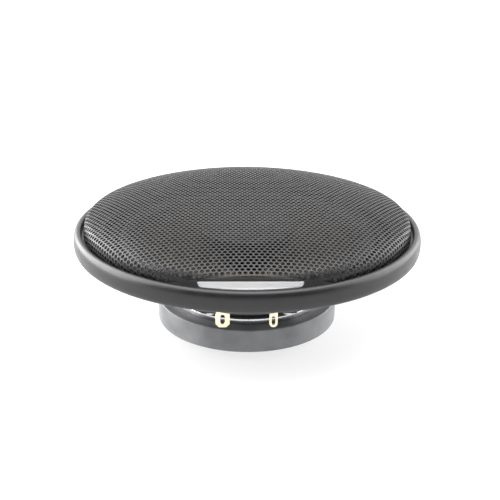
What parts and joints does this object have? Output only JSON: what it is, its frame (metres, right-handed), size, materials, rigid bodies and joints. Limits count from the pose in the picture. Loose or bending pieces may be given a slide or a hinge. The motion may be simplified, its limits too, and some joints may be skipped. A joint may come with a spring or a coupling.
{
  "type": "coaxial car speaker",
  "caption": "Round two-way coaxial car speaker with a domed perforated grille, trim ring, ring magnet motor, pressed basket and blade terminals.",
  "frame": {"origin": "centre of the motor's back face, which is the lowest point", "axes": "+Z along the speaker's axis towards the listener; -Y is the side with the blade terminals and the blank badge"},
  "size_m": [0.124, 0.124, 0.0473],
  "materials": {
    "plated_steel": "zinc plated",
    "ferrite": "ground ferrite",
    "black_steel": "black paint",
    "foam": "matte foam",
    "rubber": "soft rubber",
    "spider_cloth": "resin-stiffened cloth",
    "board": "laminate",
    "gold_plate": "gold plated",
    "copper": "enamelled copper",
    "paper": "pulp",
    "former": "film",
    "black_plastic": "moulded",
    "wire": "insulation",
    "capacitor": "sleeve",
    "silk": "coated",
    "film": "film",
    "ring_plastic": "fine-grained satin",
    "mesh_steel": "satin black powder coat",
    "badge": "satin, blank"
  },
  "bodies": {
    "basket": {"yoke": "plated_steel", "magnet": "ferrite", "front_plate": "plated_steel", "basket": "black_steel", "basket_rivets": "plated_steel", "surround_gasket": "foam", "spider": "spider_cloth", "surround": "rubber", "terminal_board": "board", "board_rivets": "plated_steel", "positive_tab": "gold_plate", "negative_tab": "gold_plate", "positive_lead": "copper", "negative_lead": "copper", "tweeter_post": "black_plastic", "tweeter_bolt": "plated_steel", "tweeter_nut": "plated_steel", "crossover_capacitor": "capacitor", "tweeter_leads": "wire", "tweeter_housing": "black_plastic", "tweeter_pot": "plated_steel", "tweeter_magnet": "plated_steel", "tweeter_pole_piece": "plated_steel", "tweeter_bezel": "black_plastic", "tweeter_suspension": "film"},
    "cone": {"cone": "paper", "voice_coil_former": "former", "voice_coil_winding": "copper", "dust_ring": "foam", "lead_eyelets": "gold_plate"},
    "tweeter_dome": {"tweeter_dome": "silk", "tweeter_coil": "copper"},
    "grille": {"grille_ring": "ring_plastic", "grille_mesh": "mesh_steel", "mesh_retainer": "black_plastic", "grille_badge": "badge"}
  },
  "joints": [
    {"name": "grille_lift", "type": "slide", "parent": "basket", "child": "grille", "axis": [0, 0, 1], "range_m": [0, 0.05]},
    {"name": "cone_excursion", "type": "slide", "parent": "basket", "child": "cone", "axis": [0, 0, 1], "range_m": [-0.003, 0.003], "stiffness_N_per_m": 1000, "deforming": ["surround", "spider", "positive_lead", "negative_lead", "tweeter_leads"]},
    {"name": "tweeter_excursion", "type": "slide", "parent": "basket", "child": "tweeter_dome", "axis": [0, 0, 1], "range_m": [-0.00025, 0.00025], "stiffness_N_per_m": 50, "deforming": ["tweeter_suspension"]}
  ]
}
